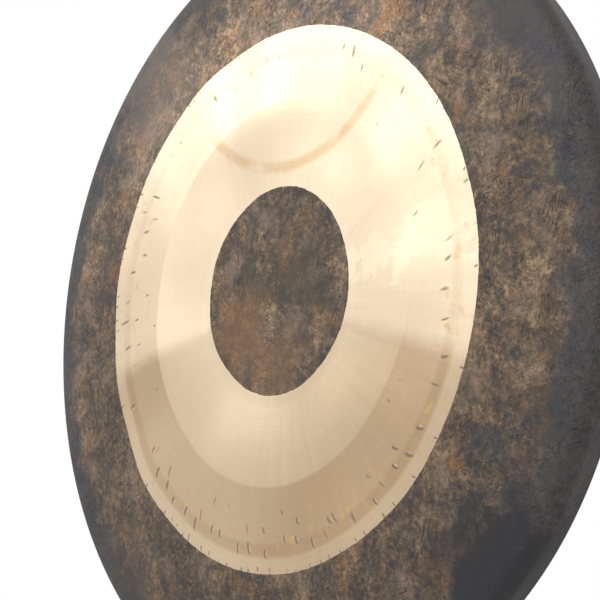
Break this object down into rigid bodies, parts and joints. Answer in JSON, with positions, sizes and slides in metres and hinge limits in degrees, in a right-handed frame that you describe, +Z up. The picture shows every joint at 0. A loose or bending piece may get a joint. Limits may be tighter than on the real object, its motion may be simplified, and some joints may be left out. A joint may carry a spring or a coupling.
{
  "type": "tam-tam",
  "caption": "Large flat hammered bronze tam-tam: shallow dished face with a bright polished ring, turned-back rim, hollow open back, and bushed holes in the rim for a hanging cord.",
  "frame": {"origin": "midway between the middles of the two cord holes, where the instrument hangs from its cord", "axes": "+Z up, +Y along the disc's axis out of its hollow back, so the struck face looks along -Y, +X to the right of someone who faces the struck face"},
  "size_m": [0.9992, 0.0636, 0.9997],
  "materials": {
    "bronze": "hammered bell bronze, polished in a wide ring, dark mottled patina at the centre, the edge and the back",
    "rubber": "matt black rubber"
  },
  "bodies": {
    "root": {"gong_disc": "bronze", "left_cord_grommet": "rubber", "right_cord_grommet": "rubber"}
  },
  "joints": []
}
